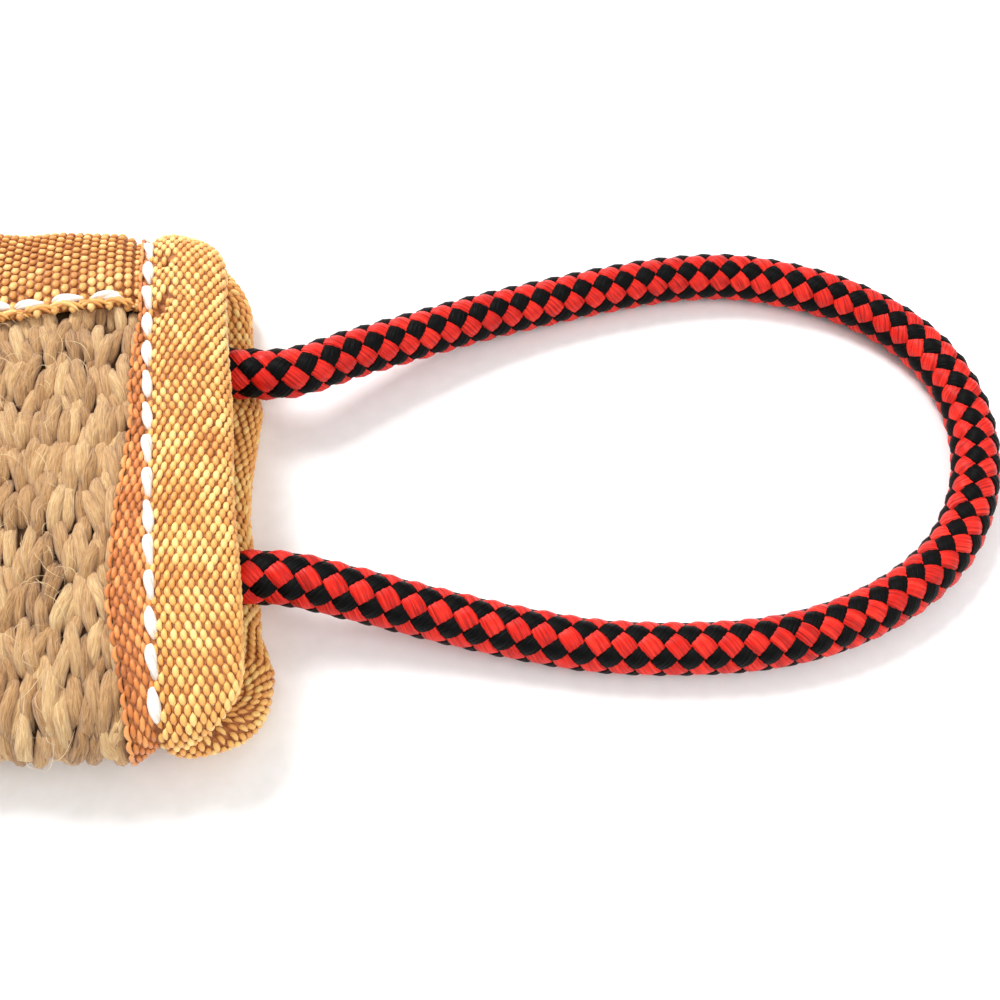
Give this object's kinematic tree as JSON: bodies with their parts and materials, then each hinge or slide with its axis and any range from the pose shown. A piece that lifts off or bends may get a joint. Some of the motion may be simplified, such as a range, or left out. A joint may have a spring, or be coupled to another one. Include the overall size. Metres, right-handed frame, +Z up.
{
  "type": "stuffed jute training bumper",
  "caption": "Flat stuffed jute bite bumper for dog training, with tape-bound edges, white topstitching and a red and black braided rope loop handle.",
  "frame": {"origin": "under the middle of the stuffed body, on the surface it lies on", "axes": "+X to the rope handle, +Y to the taped long edge, +Z up"},
  "size_m": [0.4241, 0.0925, 0.032],
  "materials": {
    "jute_cloth": "coarse woven jute",
    "fibre_filling": "loose fibre",
    "binding_tape": "satin woven tape",
    "white_thread": "twisted thread",
    "rope_braid": "braided filament yarn, red and black",
    "rope_core": "straight filament yarn"
  },
  "bodies": {
    "body": {"jute_cover": "jute_cloth", "filling_core": "fibre_filling", "long_edge_binding": "binding_tape", "handle_end_binding": "binding_tape", "plain_end_binding": "binding_tape", "long_edge_seam": "white_thread", "handle_end_seam": "white_thread", "plain_end_seam": "white_thread", "rope_anchor_stitches": "white_thread", "rope_tail_sheaths": "rope_braid", "rope_tail_cores": "rope_core"},
    "handle": {"rope_loop_sheath": "rope_braid", "rope_loop_core": "rope_core"}
  },
  "joints": [
    {"name": "handle_swing", "type": "hinge", "parent": "body", "child": "handle", "pos_m": [0.156, 0, 0.0095], "axis": [0, -1, 0], "range_deg": [-75, 85]}
  ]
}
